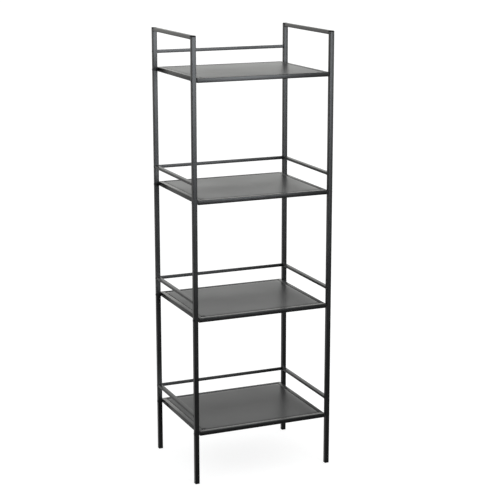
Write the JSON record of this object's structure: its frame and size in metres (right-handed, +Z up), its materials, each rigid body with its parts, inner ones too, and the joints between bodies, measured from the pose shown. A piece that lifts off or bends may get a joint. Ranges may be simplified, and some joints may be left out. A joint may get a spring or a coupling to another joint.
{
  "type": "four-tier metal storage rack",
  "caption": "Tall narrow free-standing bathroom storage rack: square-tube legs joined by bolted sheet-metal shelves, with low rails at the sides and back of each tier and an open front.",
  "frame": {"origin": "on the floor, under the middle of the rack", "axes": "+Z up, +X to the right seen from the front, the open front faces -Y"},
  "size_m": [0.403, 0.3, 1.2],
  "materials": {
    "powder_coat": "satin black powder coat on steel tube",
    "panel_coat": "satin black powder coat on steel sheet",
    "cap_plastic": "moulded black plastic",
    "bolt_steel": "black-coated steel"
  },
  "bodies": {
    "root": {"leg_front_left": "powder_coat", "leg_front_right": "powder_coat", "leg_rear_left": "powder_coat", "leg_rear_right": "powder_coat", "top_bar_left": "powder_coat", "side_rail_1_left": "powder_coat", "side_rail_2_left": "powder_coat", "side_rail_3_left": "powder_coat", "top_bar_right": "powder_coat", "side_rail_1_right": "powder_coat", "side_rail_2_right": "powder_coat", "side_rail_3_right": "powder_coat", "rear_rail_1": "powder_coat", "rear_rail_2": "powder_coat", "rear_rail_3": "powder_coat", "rear_rail_4": "powder_coat", "shelf_1_front_bar": "powder_coat", "shelf_1_rear_bar": "powder_coat", "shelf_1_left_bar": "powder_coat", "shelf_1_right_bar": "powder_coat", "shelf_1_panel": "panel_coat", "shelf_2_front_bar": "powder_coat", "shelf_2_rear_bar": "powder_coat", "shelf_2_left_bar": "powder_coat", "shelf_2_right_bar": "powder_coat", "shelf_2_panel": "panel_coat", "shelf_3_front_bar": "powder_coat", "shelf_3_rear_bar": "powder_coat", "shelf_3_left_bar": "powder_coat", "shelf_3_right_bar": "powder_coat", "shelf_3_panel": "panel_coat", "shelf_4_front_bar": "powder_coat", "shelf_4_rear_bar": "powder_coat", "shelf_4_left_bar": "powder_coat", "shelf_4_right_bar": "powder_coat", "shelf_4_panel": "panel_coat", "foot_front_left": "cap_plastic", "top_cap_front_left": "cap_plastic", "foot_front_right": "cap_plastic", "top_cap_front_right": "cap_plastic", "foot_rear_left": "cap_plastic", "top_cap_rear_left": "cap_plastic", "foot_rear_right": "cap_plastic", "top_cap_rear_right": "cap_plastic", "bolt_1_front_left": "bolt_steel", "bolt_1_front_right": "bolt_steel", "bolt_1_rear_left": "bolt_steel", "bolt_1_rear_right": "bolt_steel", "bolt_2_front_left": "bolt_steel", "bolt_2_front_right": "bolt_steel", "bolt_2_rear_left": "bolt_steel", "bolt_2_rear_right": "bolt_steel", "bolt_3_front_left": "bolt_steel", "bolt_3_front_right": "bolt_steel", "bolt_3_rear_left": "bolt_steel", "bolt_3_rear_right": "bolt_steel", "bolt_4_front_left": "bolt_steel", "bolt_4_front_right": "bolt_steel", "bolt_4_rear_left": "bolt_steel", "bolt_4_rear_right": "bolt_steel"}
  },
  "joints": []
}
